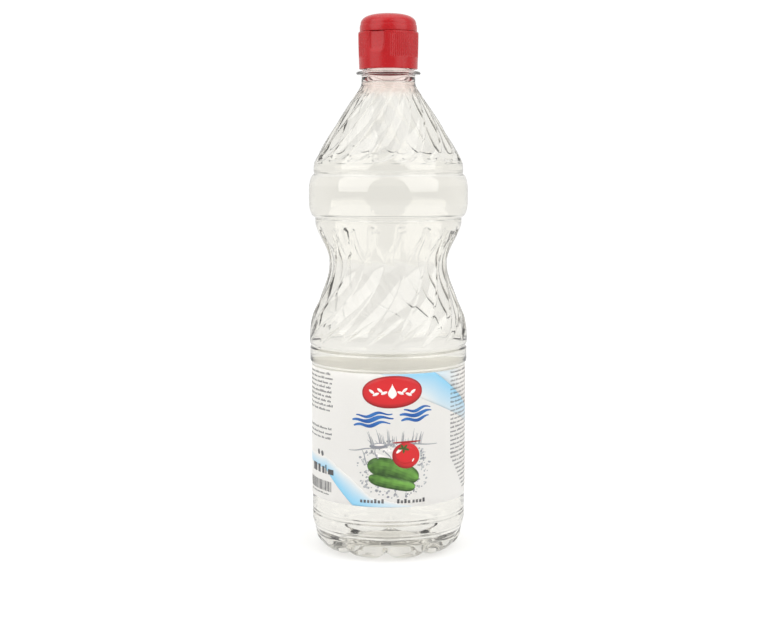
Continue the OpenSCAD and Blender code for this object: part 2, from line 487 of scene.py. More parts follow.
@dataclass(frozen=True)
class ClearFinish:
    """A clear material that bends light and lets lamps through as shadow rays.

    Its tint changes to a painted red, standing for the cap's red light seen in the neck, over that red's span
    of heights, in metres.
    """

    name: str
    tint: Colour
    ior: float
    roughness: float
    ripple_mm: float
    painted_cap_red: Optional[Colour] = None
    painted_cap_red_span: Span = (0.234, 0.244)

    def material(self) -> bpy.types.Material:
        """Builds the material.

        Returns:
            A Principled shader with full transmission, mixed with Transparent for shadow rays.
        """
        n = Nodes(bpy.data.materials.new(self.name))
        tint = (*self.tint, 1)
        shader = n.add("ShaderNodeBsdfPrincipled", {
            "Base Color": tint, "Roughness": self.roughness, "IOR": self.ior, "Transmission Weight": 1.0,
        })
        # Painted light: over its span of heights the tint turns to the cap's red, standing for the cap's red
        # light seen in the neck.
        if self.painted_cap_red is not None:
            rise = n.span(n.axis(n.place(), "Z"), self.painted_cap_red_span, (0, 1))
            n.join(n.ramp(rise, 0, self.tint, 1, self.painted_cap_red), shader.inputs["Base Color"])
        if self.ripple_mm > 0:
            n.join(n.bump(n.noise(60, 1, (1, 1, 0.5)), self.ripple_mm), shader.inputs["Normal"])
        clear = n.add("ShaderNodeBsdfTransparent", {"Color": tint})
        shadow = n.add("ShaderNodeLightPath").outputs["Is Shadow Ray"]
        return n.finish(n.mix(shadow, shader.outputs["BSDF"], clear.outputs["BSDF"]))


@dataclass(frozen=True)
class MouldedFinish:
    """Moulded plastic with faint flow clouds and a fine satin grain."""

    name: str
    deep: Colour
    light: Colour
    roughness: float
    grain_mm: float

    def material(self) -> bpy.types.Material:
        """Builds the material.

        Returns:
            A Principled shader whose colour and gloss drift slightly over the piece.
        """
        n = Nodes(bpy.data.materials.new(self.name))
        shader = n.add("ShaderNodeBsdfPrincipled", {
            "IOR": 1.49, "Specular IOR Level": 0.45, "Subsurface Weight": 0.12, "Subsurface Scale": 0.002,
        })
        cloud = n.noise(90, 3, (1, 1, 0.35))
        gloss = n.span(n.noise(700, 2), (0, 1), (self.roughness - 0.05, self.roughness + 0.07))
        n.join(n.ramp(cloud, 0.3, self.deep, 0.7, self.light), shader.inputs["Base Color"])
        n.join(gloss, shader.inputs["Roughness"])
        n.join(n.bump(n.noise(2600, 2), self.grain_mm), shader.inputs["Normal"])
        return n.finish(shader.outputs["BSDF"])


@dataclass(frozen=True)
class PrintFinish:
    """Printed film: a colour that may fade to another along the field called fade."""

    name: str
    colour: Colour
    faded: Colour
    roughness: float
    glow_through: float = 0.0

    def material(self) -> bpy.types.Material:
        """Builds the material.

        Returns:
            A satin Principled shader with a slight fleck in the ink.
        """
        n = Nodes(bpy.data.materials.new(self.name))
        shader = n.add("ShaderNodeBsdfPrincipled", {
            "IOR": 1.48, "Roughness": self.roughness, "Subsurface Weight": self.glow_through,
            "Subsurface Scale": 0.001, "Subsurface Radius": (1, 1, 1),
        })
        fade = n.add("ShaderNodeAttribute", attribute_name="fade").outputs["Fac"]
        fleck = n.add("ShaderNodeMix", data_type="RGBA", blend_type="MULTIPLY")
        fleck.inputs["Factor"].default_value = 1.0
        n.join(n.ramp(fade, 0, self.colour, 1, self.faded), fleck.inputs[6])
        n.join(n.ramp(n.noise(1500, 3), 0.25, (0.97, 0.97, 0.97), 0.75, (1, 1, 1)), fleck.inputs[7])
        n.join(fleck.outputs[2], shader.inputs["Base Color"])
        n.join(n.bump(n.noise(160, 2, (1, 1, 0.4)), 0.015), shader.inputs["Normal"])
        return n.finish(shader.outputs["BSDF"])


# The plastic's tint turns a painted red near the neck: painted light that stands for the cap's red light
# shining into it.
PET = ClearFinish("clear blown plastic", (0.985, 0.99, 0.982), 1.5, 0.015, 0.012, (0.985, 0.895, 0.87))
# The vinegar bends light less than the real one's 1.34, so that fewer bounces cross it and it stays pale.
LIQUID = ClearFinish("white vinegar", (0.986, 0.961, 0.920), 1.11, 0.0, 0.0)
RED = MouldedFinish("red moulded plastic", (0.37, 0.003, 0.006), (0.44, 0.005, 0.009), 0.25, 0.006)
PAPER_WHITE: Colour = (0.84, 0.815, 0.78)
# The label's back face is painted lighter than its front, to make up for the dim light inside the bottle
# where it shows through the plastic.
PAPER_BACK: Colour = (0.98, 0.975, 0.965)
PAPER_FACE: Colour = (0.757, 0.733, 0.702)
PAPER = PrintFinish("label film", PAPER_WHITE, PAPER_BACK, 0.42, 0.7)
INKS: Dict[str, PrintFinish] = {
    "sky": PrintFinish("sky blue ink", (0.235, 0.545, 0.76), PAPER_FACE, 0.4),
    "red": PrintFinish("red ink", (0.62, 0.012, 0.016), (0.30, 0.008, 0.012), 0.38),
    "pale": PrintFinish("pale ink", (0.84, 0.80, 0.78), (0.84, 0.80, 0.78), 0.4),
    "blue": PrintFinish("deep blue ink", (0.012, 0.085, 0.33), (0.03, 0.17, 0.48), 0.4),
    "grey": PrintFinish("grey ink", (0.20, 0.21, 0.24), (0.62, 0.62, 0.62), 0.4),
    "black": PrintFinish("black ink", (0.035, 0.035, 0.04), (0.30, 0.30, 0.30), 0.4),
    "green": PrintFinish("green ink", (0.03, 0.085, 0.012), (0.16, 0.38, 0.06), 0.4),
}


def dress(piece: bpy.types.Object, material: bpy.types.Material, body: Body) -> bpy.types.Object:
    """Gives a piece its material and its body.

    Args:
        piece: The piece.
        material: Its finish.
        body: Body that it moves with.

    Returns:
        The same piece.
    """
    piece.data.materials.clear()
    piece.data.materials.append(material)
    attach(piece, body.value)
    LOG.info("%s: %d faces", piece.name, len(piece.data.polygons))
    return piece


# --------------------------------------------------------------- bottle body


@dataclass
class BottleBody:
    """The blown bottle, its neck and what fills it. Sizes are in millimetres.

    A crease is its height, depth and width. A ring span is its two heights
    and the gap between the mesh rings in it.
    """

    panel_r: float = 40.2
    ring_r: float = 41.1
    band_r: float = 41.3
    crease_r: float = 38.1
    waist_r: float = 30.8
    heel_r: float = 38.3
    foot_r: float = 27.5
    heel_h: float = 9.0
    z_panel: float = 18.0
    z_ring: float = 98.0
    z_groove: float = 107.6
    z_waist_foot: float = 111.0
    z_waist: float = 149.5
    z_crease: float = 172.5
    z_band_top: float = 196.5
    z_neck: float = 243.0
    z_support: float = 247.3
    z_finish: float = 248.8
    z_rim: float = 266.9
    z_fill: float = 242.7
    punt_h: float = 5.0
    punt_share: float = 0.42
    neck_r: float = 13.85
    finish_r: float = 13.3
    bore_r: float = 11.2
    support_r: float = 16.6
    wall: float = 0.45
    reach: float = 0.12
    flutes: int = 18
    flute_phase: float = 11.5
    waist_twist: float = 48.0
    shoulder_twist: float = 40.0
    feet: int = 10
    foot_phase: float = -2.0
    foot_groove: float = 2.2
    across_flute: int = 14
    shoulder_start: float = 5.5
    neck_blend: float = 3.4
    waist_hold: float = 1.15
    flute_d: float = 0.5
    shoulder_flute_d: float = 0.32
    flute_d_share: float = 0.065
    flute_narrow: float = 0.24
    foot_power: float = 2.6
    foot_middle: float = 5.0
    foot_half_h: float = 6.6
    foot_share: float = 0.9
    band_low_corner: float = 8.0
    band_high_corner: float = 8.5
    soften: float = 0.45
    creases: Tuple[Triple, ...] = (
        (13.9, 0.12, 0.5), (20.4, 0.4, 0.5), (22.2, 0.22, 0.45), (107.6, 0.6, 0.75),
        (174.2, 0.45, 0.45), (196.7, 0.25, 0.5), (201.7, 0.2, 0.6),
    )
    ring_spans: Tuple[Triple, ...] = (
        (9.0, 13.0, 0.7), (13.0, 15.0, 0.5), (15.0, 19.4, 1.1), (19.4, 23.2, 0.38), (23.2, 96.0, 9.0),
        (96.0, 98.0, 1.0), (98.0, 100.0, 0.45), (100.0, 105.0, 1.0), (105.0, 111.0, 0.5),
        (111.0, 118.0, 0.9), (118.0, 158.0, 1.25), (158.0, 163.0, 0.9), (163.0, 170.0, 0.55),
        (170.0, 173.0, 0.9), (173.0, 177.0, 0.36), (177.0, 182.0, 1.0), (182.0, 188.0, 2.0),
        (188.0, 195.5, 0.75), (195.5, 198.0, 0.4), (198.0, 202.0, 0.55), (202.0, 208.0, 0.6),
        (208.0, 233.0, 1.25), (233.0, 240.0, 0.6), (240.0, 243.0, 0.6),
    )

    @property
    def columns(self) -> int:
        """Number of mesh columns, a whole number of them in each flute."""
        return self.flutes * self.across_flute

    @property
    def flute_top(self) -> float:
        """Height at which the waist's flutes start."""
        return self.z_crease - 4.0

    @property
    def cone_h(self) -> float:
        """Height of the shoulder's cone."""
        return self.z_neck - self.z_band_top - self.shoulder_start - self.neck_blend

    def sharp_radius(self, z: Array) -> Array:
        """Radius of the side, before its corners are softened.

        From the heel up: a quarter sine to the panel, the straight panel, a
        plain ring, half a wave in to the waist and half a wave out, the band
        with two elliptical corners, a small bead, and two cubics to the neck.

        Args:
            z: Heights.

        Returns:
            Radius at each height.
        """
        cone_foot = self.z_band_top + self.shoulder_start
        cone_top = cone_foot + self.cone_h
        shoulder_r, cone_top_r = self.crease_r + 0.6, self.neck_r + 1.5
        slope = (cone_top_r - shoulder_r) / self.cone_h
        swell = np.sin(np.pi / 2 * share_of(self.heel_h, self.z_panel, z))
        taper = self.heel_r + (self.panel_r - self.heel_r) * swell
        ring = self.ring_r + 0.2 * ease(self.z_groove + 0.6, self.z_groove + 2.6, z)
        ring = ring - (self.ring_r - self.panel_r) * (1 - ease(self.z_ring, self.z_ring + 1.8, z))
        foot_r = self.ring_r + 0.2
        fall = wave(share_of(self.z_waist_foot, self.z_waist, z), self.waist_hold)
        waist_low = foot_r + (self.waist_r - foot_r) * fall
        rise = wave(share_of(self.z_waist, self.z_crease, z), self.waist_hold)
        waist_up = self.waist_r + (self.crease_r - self.waist_r) * rise
        band_foot = self.z_crease + 1.6
        low_corner = quarter((z - band_foot) / self.band_low_corner)
        band_low = self.crease_r + (self.band_r - self.crease_r) * low_corner
        high_corner = quarter((self.z_band_top - z) / self.band_high_corner)
        band_up = self.crease_r + 0.4 + (self.band_r - self.crease_r - 0.4) * high_corner
        bead = shoulder_r + 0.1 * np.sin(np.pi * np.clip((z - self.z_band_top) / 5.0, 0, 1))
        cone = cubic(
            np.clip((z - cone_foot) / self.cone_h, 0, 1),
            shoulder_r, 0.8 * slope, cone_top_r, 1.11 * slope, self.cone_h,
        )
        blend = cubic(
            np.clip((z - cone_top) / self.neck_blend, 0, 1),
            cone_top_r, 1.11 * slope, self.neck_r + 0.15, -0.05, self.neck_blend,
        )
        parts = (
            (self.z_panel, taper), (self.z_ring, self.panel_r), (self.z_waist_foot, ring),
            (self.z_waist, waist_low), (self.z_crease, waist_up), (band_foot, self.crease_r),
            (band_foot + 10, band_low), (self.z_band_top, band_up), (cone_foot, bead),
            (cone_top, cone), (self.z_neck, blend),
        )
        below, radii = [z < top for top, _ in parts], [radius for _, radius in parts]
        return np.select(below, radii, default=self.neck_r)

    def side_radius(self, z: Array) -> Array:
        """Radius of the side with soft corners and its small creases.

        The sharp outline is averaged over twice the softening length. Each
        crease then takes a bell curve off it: its depth times e to minus the
        squared distance over its width.

        Args:
            z: Heights.

        Returns:
            Radius at each height.
        """
        offsets = np.linspace(-self.soften, self.soften, 7)
        weights = 1 - 0.75 * np.abs(offsets) / self.soften
        soft = sum(w * self.sharp_radius(z + d) for w, d in zip(weights, offsets)) / weights.sum()
        for place, depth, width in self.creases:
            soft = soft - depth * np.exp(-(((z - place) / width) ** 2))
        return soft

    def side_heights(self, step: float) -> Array:
        """Heights of the rings on the side, closer together where the shape is finer.

        Args:
            step: Scale of the spacing, 1 for the outside.

        Returns:
            Rising heights from just over the heel to the neck.
        """
        parts = [
            np.linspace(a, b, max(2, round((b - a) / (gap * step)) + 1))[:-1] for a, b, gap in self.ring_spans
        ]
        return np.concatenate(parts + [np.array([self.z_neck])])

    def outline(self, step: float) -> Array:
        """Half outline of the body from the middle of the base to the neck.

        The base's hollow is the power 1.5 of a cosine, and the heel is a
        quarter of an ellipse.

        Args:
            step: Scale of the spacing, 1 for the outside.

        Returns:
            Points of (radius, height).
        """
        share = np.linspace(0.06, 0.97, round(15 / step))
        hollow = self.punt_h * np.cos(np.pi / 2 * share_of(self.punt_share, 1, share)) ** 1.5
        under = np.stack([share * self.foot_r, hollow], axis=1)
        a = np.radians(np.linspace(0, 86, round(24 / step)))
        heel_r = self.foot_r + (self.heel_r - self.foot_r) * np.sin(a)
        heel = np.stack([heel_r, self.heel_h * (1 - np.cos(a))], axis=1)
        z = self.side_heights(step)
        return np.concatenate([under, heel, np.stack([self.side_radius(z), z], axis=1)])

    def twist(self, z: Array) -> Array:
        """Turn of the flutes: a square law down the waist and a straight one up the shoulder.

        Args:
            z: Heights.

        Returns:
            Turn in degrees at each height.
        """
        down = share_of(self.flute_top, self.z_waist_foot, z)
        up = np.maximum(0, z - self.z_band_top - self.shoulder_start) / self.cone_h
        shoulder = self.shoulder_twist * np.minimum(up, 1)
        return np.where(z < self.flute_top, -self.waist_twist * down**2, shoulder)

    def flute_cut(self, r: Array, z: Array, share: Array) -> Array:
        """Depth of the flutes: a scoop, one minus the square of the way to its edge.

        Args:
            r: Radius of each ring, as a column.
            z: Height of each ring, as a column.
            share: Place across a flute from -0.5 to 0.5.

        Returns:
            Depth in millimetres, rings by columns.
        """
        pitch = 2 * np.pi * r / self.flutes
        top, foot = self.flute_top, self.z_waist_foot - 1.5
        wide = 1 - (1 - self.flute_narrow) * ease(self.z_waist + 1.5, top - 2.0, z)
        wide = wide * (0.08 + 0.92 * ease(foot, foot + 19, z))
        more = self.flute_d_share * pitch
        deep = (self.flute_d + more) * ease(foot, foot + 9, z) * (1 - ease(top - 1.7, top + 0.3, z))
        low, high = self.z_band_top + 6.3, self.z_neck - 3.2
        wide_up = np.sqrt(np.clip((z - low) / 4.5, 0, 1) * np.clip((high - z) / 5.5, 0, 1))
        deep_up = self.shoulder_flute_d + more
        deep_up = deep_up * ease(low, low + 1.4, z) * (1 - ease(high - 1.6, high, z))
        upper = z > self.z_crease
        wide = np.where(upper, np.maximum(wide_up, 0.02), wide)
        deep = np.where(upper, deep_up, deep)
        return deep * np.clip(1 - (2 * share / wide) ** 2, 0, None)

    def foot_cut(self, r: Array, z: Array, angle: Array) -> Array:
        """Depth of the hollows round the feet.

        A foot is a rounded lobe: powers of the way to its side and to its top
        or foot add up to one on its edge. Outside it the wall dips.

        Args:
            r: Radius of each ring, as a column.
            z: Height of each ring, as a column.
            angle: Angle from the front in degrees.

        Returns:
            Depth in millimetres, rings by columns.
        """
        share = ((angle - self.foot_phase) * self.feet / 360) % 1.0 - 0.5
        edge = np.abs(2 * share / self.foot_share) ** self.foot_power
        edge = edge + np.abs((z - self.foot_middle) / self.foot_half_h) ** self.foot_power
        outside = ease(0.35, 1.55, edge)
        amount = self.foot_groove * (1 - ease(3.5, 10.5, z)) + 0.45 * (1 - ease(11.6, 13.4, z))
        return outside * amount * ease(self.foot_r * 0.6, self.foot_r * 1.05, r)

    def skin(self, outline: Array, depth: float) -> Array:
        """The fluted and footed surface, set in from the outside by a depth.

        Each point goes in along the outline's normal by the cut plus the depth.

        Args:
            outline: Points of (radius, height), from the base up.
            depth: How far in the surface lies.

        Returns:
            Grid of points.
        """
        way = np.gradient(outline, axis=0)
        way /= np.linalg.norm(way, axis=1, keepdims=True)
        r, z = outline[:, :1], outline[:, 1:2]
        column = np.arange(self.columns)[None, :]
        angle = self.flute_phase + self.twist(z) + 360 * column / self.columns
        share = (column / self.across_flute + 0.5) % 1.0 - 0.5
        cut = self.flute_cut(r, z, share) + self.foot_cut(r, z, angle) + depth
        radius = np.maximum(r - cut * way[:, 1:2], 0.2)
        height = z + cut * way[:, :1]
        return wrap(radius, np.radians(angle), height)

    def inner_skin(self, depth: float, narrow: float) -> Array:
        """The inside of the wall: the skin, eased into the neck's bore near the top.

        Args:
            depth: How far in from the outside it lies on the body.
            narrow: Radius of the bore that it ends in.

        Returns:
            Grid of points from the base up to the neck.
        """
        outline = self.outline(2.2)
        grid = self.skin(outline, depth)
        z = outline[:, 1]
        part = ease(self.z_neck - 5, self.z_support, z)[:, None, None]
        bore = spin(np.stack([np.full_like(z, narrow), z], axis=1), self.turns(z))
        return grid * (1 - part) + bore * part

    def turns(self, z: Array) -> Array:
        """Angles in radians of the mesh columns at each height."""
        column = np.arange(self.columns)
        return np.radians(self.flute_phase + self.twist(z[:, None]) + 360 * column / self.columns)

    def neck_outline(self) -> Array:
        """Outline of the neck from the shoulder over the support ring and the rim to the bore.

        It is made of straight lines and round arcs.

        Returns:
            Points of (radius, height).
        """
        half = (self.z_finish - self.z_support) / 2
        nose = arc((self.support_r - half, self.z_support + half), half, -90, 90, 9)
        lip = arc((self.finish_r - 0.6, self.z_rim - 0.6), 0.6, 0, 90, 5)
        inner = arc((self.bore_r + 0.5, self.z_rim - 0.5), 0.5, 90, 180, 5)
        root = arc((self.neck_r + 0.5, self.z_support - 0.5), 0.5, 180, 90, 5)
        return np.concatenate(
            [
                [[self.neck_r + 0.06, self.z_neck + 1.2], [self.neck_r, self.z_neck + 2.6]],
                root, nose,
                [[self.finish_r + 0.4, self.z_finish], [self.finish_r, self.z_finish + 0.4]],
                [[self.finish_r, self.z_finish + 9]],
                lip, inner,
                [[self.bore_r, 258], [self.bore_r, 250], [self.bore_r, self.z_support + 0.2]],
            ]
        )

    def build_wall(self) -> bpy.types.Object:
        """Builds the bottle's closed wall, outside and inside.

        Returns:
            The wall.
        """
        outside = self.skin(self.outline(1.0), 0.0)
        neck = self.neck_outline()
        inside = self.inner_skin(self.wall, self.bore_r)[::-1]
        grid = np.concatenate([outside, spin(neck, self.turns(neck[:, 1])), inside])
        piece = turned_object("bottle_wall", grid, closed=False)
        dress(piece, PET.material(), Body.BOTTLE)
        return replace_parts(piece, "bottle")

    def build_vinegar(self) -> bpy.types.Object:
        """Builds the vinegar, which reaches just into the wall.

        Its surface climbs the wall as e to minus the distance from it.

        Returns:
            The vinegar.
        """
        grid = self.inner_skin(self.wall - self.reach, self.bore_r + self.reach)
        grid = grid[grid[:, 0, 2] < self.z_fill]
        edge = np.hypot(grid[-1, :, 0], grid[-1, :, 1]).mean()
        from_wall = np.array([0.0, 0.25, 0.6, 1.1, 1.8, 2.8, 4.5, 7.0, edge - 0.6])
        climb = self.z_fill + 0.9 * np.exp(-from_wall / 0.9)
        surface = np.stack([edge - from_wall, climb], axis=1)
        last = np.full(len(surface), self.z_neck)
        grid = np.concatenate([grid, spin(surface, self.turns(last))])
        piece = turned_object("vinegar_fill", grid, closed=False)
        dress(piece, LIQUID.material(), Body.BOTTLE)
        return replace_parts(piece, "vinegar")


# --------------------------------------------------------------------- label


@dataclass
class Stamp:
    """A flat printed shape: a grid of places on the label, with a fade at each."""

    across: Array
    up: Array
    fade: Array


@dataclass
class WrapLabel:
    """The printed wrap label. Places on it are millimetres round from the front and millimetres up."""

    radius: float = 40.22
    thickness: float = 0.16
    z_low: float = 29.5
    z_high: float = 97.5
    columns: int = 360
    layer: float = 0.01
    stamps: Dict[Tuple[str, int], List[Stamp]] = field(default_factory=dict)

    @property
    def face_r(self) -> float:
        """Radius of the printed face."""
        return self.radius + self.thickness

    def build_film(self) -> bpy.types.Object:
        """Builds the label's film as a closed tube whose back face is marked by the fade.

        Returns:
            The film.
        """
        z = np.linspace(self.z_low + 0.05, self.z_high - 0.05, 18)
        outer = np.stack([np.full_like(z, self.face_r), z], axis=1)
        inner = np.stack([np.full_like(z, self.radius), z[::-1]], axis=1)
        rim_high = np.array([[self.face_r - 0.03, self.z_high], [self.radius + 0.03, self.z_high]])
        rim_low = np.array([[self.radius + 0.03, self.z_low], [self.face_r - 0.03, self.z_low]])
        outline = np.concatenate([outer, rim_high, inner, rim_low])
        a = np.linspace(0, 2 * np.pi, self.columns, endpoint=False)
        grid = spin(outline, a)
        # The fade marks the back face, which takes the lighter colour painted to make up for the dim light
        # inside the bottle.
        back = np.repeat(outline[:, 0] < self.radius + 0.04, self.columns)
        quads = ring_quads(len(outline), self.columns, True)
        smooth = np.repeat(np.arange(len(outline)) % (len(z) + 2) < len(z) - 1, self.columns)
        piece = mesh_object("label_film", grid.reshape(-1, 3), quads, fields={"fade": back}, smooth=smooth)
        dress(piece, PAPER.material(), Body.BOTTLE)
        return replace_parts(piece, "label")

    def stamp(self, ink: str, layer: int, across: Array, up: Array, fade: Array) -> None:
        """Keeps a printed shape for later.

        Args:
            ink: Name of the ink.
            layer: Its place in the pile of inks, 1 at the bottom.
            across: Places round the label, rows by columns, rising along each row.
            up: Heights, rising from row to row.
            fade: 0 for the ink's own colour and 1 for its second one.
        """
        self.stamps.setdefault((ink, layer), []).append(Stamp(across, up, np.clip(fade, 0, 1)))

    def oval(
        self, ink: str, layer: int, centre: Place, half: Place, tilt: float = 0.0, power: float = 2.0,
        shade: Shade = None, count: int = 25,
    ) -> None:
        """Prints a filled oval: its height is the root of one minus a power of the way across.

        Args:
            ink: Name of the ink.
            layer: Its place in the pile.
            centre: Middle of the oval.
            half: Half width and half height.
            tilt: Turn in degrees.
            power: 2 for an ellipse, more for a squarer shape.
            shade: Fade, or how it follows from the place across and up, each from -1 to 1.
            count: Points across.
        """
        s = np.sin(np.linspace(-np.pi / 2, np.pi / 2, count))[None, :] * 0.9995
        t = np.linspace(-1, 1, 3 if shade is None else 9)[:, None]
        high = np.power(1 - np.abs(s) ** power, 1 / power)
        x, y = np.broadcast_to(s, (len(t), count)), t * high
        fade = shade(x, y) if callable(shade) else np.full_like(y, shade or 0.0)
        a = math.radians(tilt)
        u = centre[0] + half[0] * x * math.cos(a) - half[1] * y * math.sin(a)
        v = centre[1] + half[0] * x * math.sin(a) + half[1] * y * math.cos(a)
        self.stamp(ink, layer, u, v, fade)

    def stroke(self, ink: str, layer: int, path: Array, width: Array, fade: Shade = 0.0) -> None:
        """Prints a stroke: a path with half its width laid off on each side of it.

        Args:
            ink: Name of the ink.
            layer: Its place in the pile.
            path: Points along it, going right, n by 2.
            width: Width at each point.
            fade: Fade at each point, or one for all.
        """
        way = np.gradient(path, axis=0)
        way /= np.linalg.norm(way, axis=1, keepdims=True)
        side = np.linspace(-0.5, 0.5, 7)[:, None] * width[None, :]
        u = path[None, :, 0] - side * way[None, :, 1]
        v = path[None, :, 1] + side * way[None, :, 0]
        self.stamp(ink, layer, u, v, np.broadcast_to(fade, u.shape))

    def bar(self, left: float, right: float, low: float, high: float, fade: float) -> None:
        """Prints a plain black bar.

        Args:
            left: Place of its left side.
            right: Place of its right side.
            low: Height of its foot.
            high: Height of its top.
            fade: Its fade.
        """
        count = max(2, math.ceil((right - left) / 0.8) + 1)
        u, v = np.meshgrid(np.linspace(left, right, count), np.array([low, high]))
        self.stamp("black", 3, u, v, np.full_like(u, fade))

    def build_prints(self) -> List[bpy.types.Object]:
        """Turns the kept shapes into thin closed films, one piece for each ink and layer.

        Returns:
            The films.
        """
        pieces = []
        for (ink, layer), stamps in sorted(self.stamps.items(), key=lambda item: item[0][1]):
            points, quads, fades, smooth, total = [], [], [], [], 0
            for stamp in stamps:
                rows, columns = stamp.across.shape
                a = stamp.across / self.face_r
                top, low = self.face_r + self.layer * layer, self.face_r + self.layer * (layer - 0.6)
                for r in (top, low):
                    points.append(wrap(r, a, stamp.up).reshape(-1, 3))
                    fades.append(stamp.fade.ravel())
                grid = sheet_quads(rows, columns)
                size = rows * columns
                edge = np.concatenate([
                    np.arange(columns), np.arange(1, rows) * columns + columns - 1,
                    (rows - 1) * columns + np.arange(columns - 2, -1, -1),
                    np.arange(rows - 2, 0, -1) * columns,
                ])
                following = np.roll(edge, -1)
                rim = np.stack([edge, edge + size, following + size, following], axis=1)
                quads.append(np.concatenate([grid, grid[:, ::-1] + size, rim]) + total)
                smooth.append(np.repeat([True, False], [2 * len(grid), len(rim)]))
                total += 2 * size
            piece = mesh_object(
                f"print_{ink}_{layer}", np.concatenate(points), np.concatenate(quads),
                fields={"fade": np.concatenate(fades)}, smooth=np.concatenate(smooth),
            )
            pieces.append(dress(piece, INKS[ink].material(), Body.BOTTLE))
        return pieces

    def greek(self, left: float, right: float, low: float, size: float, seed: int) -> None:
        """Prints a line of small print as plain ticks in clumps, with no letters in it.

        Args:
            left: Start of the line.
            right: End of the line.
            low: Height of its foot.
            size: Height of its tallest ticks.
            seed: Seed of its clumps.
        """
        chance = np.random.default_rng(seed)
        place = left
        while place < right - size:
            end = min(right, place + chance.uniform(1.5, 5.5) * size)
            for tick in np.arange(place, end - 0.3 * size, 0.8 * size):
                tall = size * (0.95 if chance.random() < 0.3 else 0.66)
                self.bar(tick, tick + 0.52 * size, low, low + tall, chance.uniform(0.1, 0.45))
            place = end + 0.7 * size

    def print_sky(self) -> None:
        """Prints the two sky-blue fields, deepest along their crisp slanting edge."""
        u = np.linspace(-4.6, 60, 82)
        crisp = np.minimum(self.z_high - 0.05, 98.0 - 0.673 * (u - 24.2))
        soft = np.where(u < 17.7, 97.3 - 0.578 * (u + 4.6), 84.4 - 0.432 * (u - 17.7))
        soft = np.minimum(soft, crisp - 0.02)
        t = np.linspace(0, 1, 12)[:, None]
        across = np.broadcast_to(u, (12, len(u)))
        fade = (1 - t) * (1 - 0.35 * ease(15, 30, across)) + 0.25 * ease(34, 60, across)
        fade = fade + 0.35 * (1 - ease(-4, 14, across))
        self.stamp("sky", 1, across, soft + t * (crisp - soft), fade)
        u = np.linspace(25.0, 60, 44)
        low = 98.0 - 0.673 * (u - 24.2)
        across = np.broadcast_to(u, (3, len(u)))
        up = low + np.linspace(0, 1, 3)[:, None] * (self.z_high - 0.05 - low)
        self.stamp("sky", 1, across, up, 0.62 + 0.38 * ease(25, 50, across))
        u = np.linspace(-60, 12, 92)
        high = np.interp(u, [-60, -36.2, -20.2, -9.3, 12], [54.0, 52.8, 44.0, 34.6, 30.2])
        low = np.interp(u, [-60, -37, -30.2, -18.9, 12], [47.5, 46.0, 39.8, 29.6, 29.6])
        across = np.broadcast_to(u, (12, len(u)))
        fade = t**1.5 + 0.8 * ease(-20, 12, across) * (1 - t) + 0.25 * (1 - ease(-44, -30, across))
        self.stamp("sky", 1, across, low + t * (high - low), fade)

    def print_badge(self) -> None:
        """Prints a plain red badge with a darker rim, a drop and two sprigs of leaves."""
        centre = (2.0, 88.4)
        self.oval("red", 2, centre, (15.4, 8.2), 2.5, 2.15, 0.85, 61)
        self.oval("red", 3, centre, (14.7, 7.4), 2.5, 2.15, lambda x, y: 0.25 * (x * x + y * y) ** 2, 61)
        t = np.linspace(0, 1, 22)
        fall = np.stack([np.full_like(t, centre[0]), 92.6 - 7.6 * t], axis=1)
        self.stroke("pale", 4, fall, 0.1 + 4.3 * np.sin(np.pi * t**1.7) ** 0.9)
        for side in (-1, 1):
            for k in range(4):
                place = (centre[0] + side * (4.1 + 2.1 * k), 88.6 - 0.35 * k + (0.9 if k % 2 else -0.7))
                self.oval("pale", 4, place, (1.75, 0.72), side * (38 if k % 2 else -22), 1.7)

    def print_waves(self) -> None:
        """Prints two groups of brushed blue waves that rise to the right."""
        for left, right, base, turns in ((-18.8, 2.6, 70.8, 1.6), (5.7, 22.9, 73.6, 1.3)):
            t = np.linspace(0, 1, 90)
            rows = ((0.0, 2.0, 0.2), (2.5, 2.3, 0.9), (5.0, 1.7, 1.6))
            for row, (lift, thick, phase) in enumerate(rows):
                swing = 2 * np.pi * turns * t + phase
                start = left + 1.3 * (row == 2) - 0.8 * (row == 1) + 0.8
                end = right - 1.6 * (row == 0) - 0.6 * (row == 2)
                along = (end - start) * t
                rise = base + lift + 0.115 * (end - start) * t + 0.75 * np.sin(swing)
                path = np.stack([start + along, rise], axis=1)
                width = thick * (0.3 + 0.7 * np.sin(np.pi * t**0.8)) * (0.86 + 0.14 * np.cos(swing)) + 0.05
                self.stroke("blue", 3, path, width, 0.35 + 0.35 * np.sin(swing + 0.8 * row))

